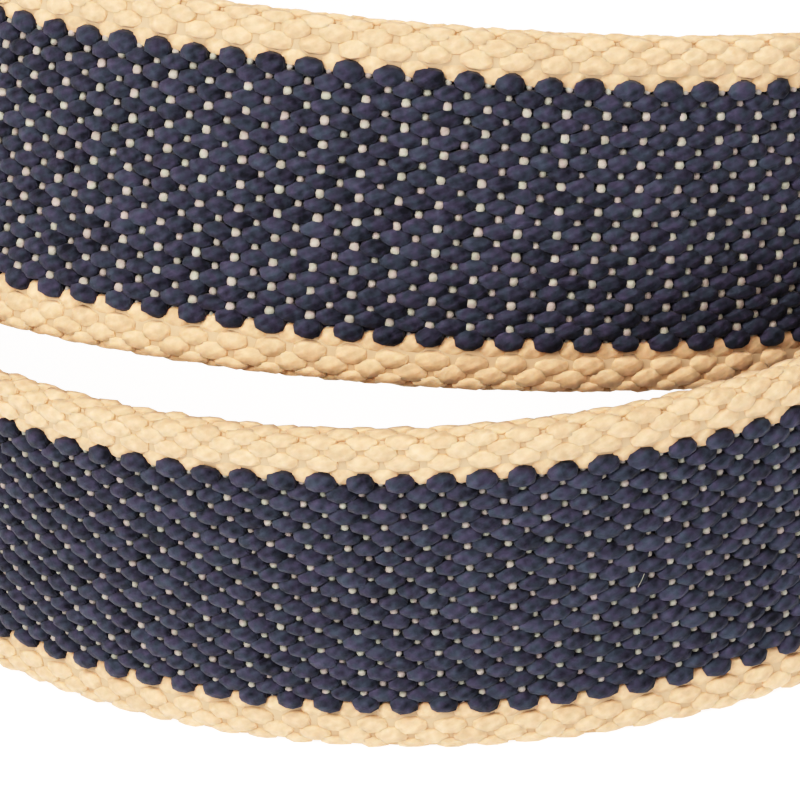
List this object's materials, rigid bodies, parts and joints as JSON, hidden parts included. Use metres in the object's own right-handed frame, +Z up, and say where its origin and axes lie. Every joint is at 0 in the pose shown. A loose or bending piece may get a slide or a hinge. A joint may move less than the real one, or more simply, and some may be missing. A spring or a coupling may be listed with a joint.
{
  "type": "striped woven web belt",
  "caption": "Woven cotton web belt, navy with cream borders, loosely coiled on its edge, with a plain box buckle on the outer end.",
  "frame": {"origin": "on the floor, under the middle of the coiled belt's bounding box", "axes": "+Z up, the strap's width direction; -Y towards the front of the coil, where the second turn is lifted; +X towards the buckle"},
  "size_m": [0.1807, 0.2062, 0.0754],
  "materials": {
    "navy_yarn": "matt twisted cotton yarn, dark navy",
    "cream_yarn": "matt twisted cotton yarn, warm cream",
    "buckle_metal": "satin, lightly brushed, worn brighter along its edges"
  },
  "bodies": {
    "root": {"woven_strap": "navy_yarn", "box_buckle": "buckle_metal"}
  },
  "joints": []
}
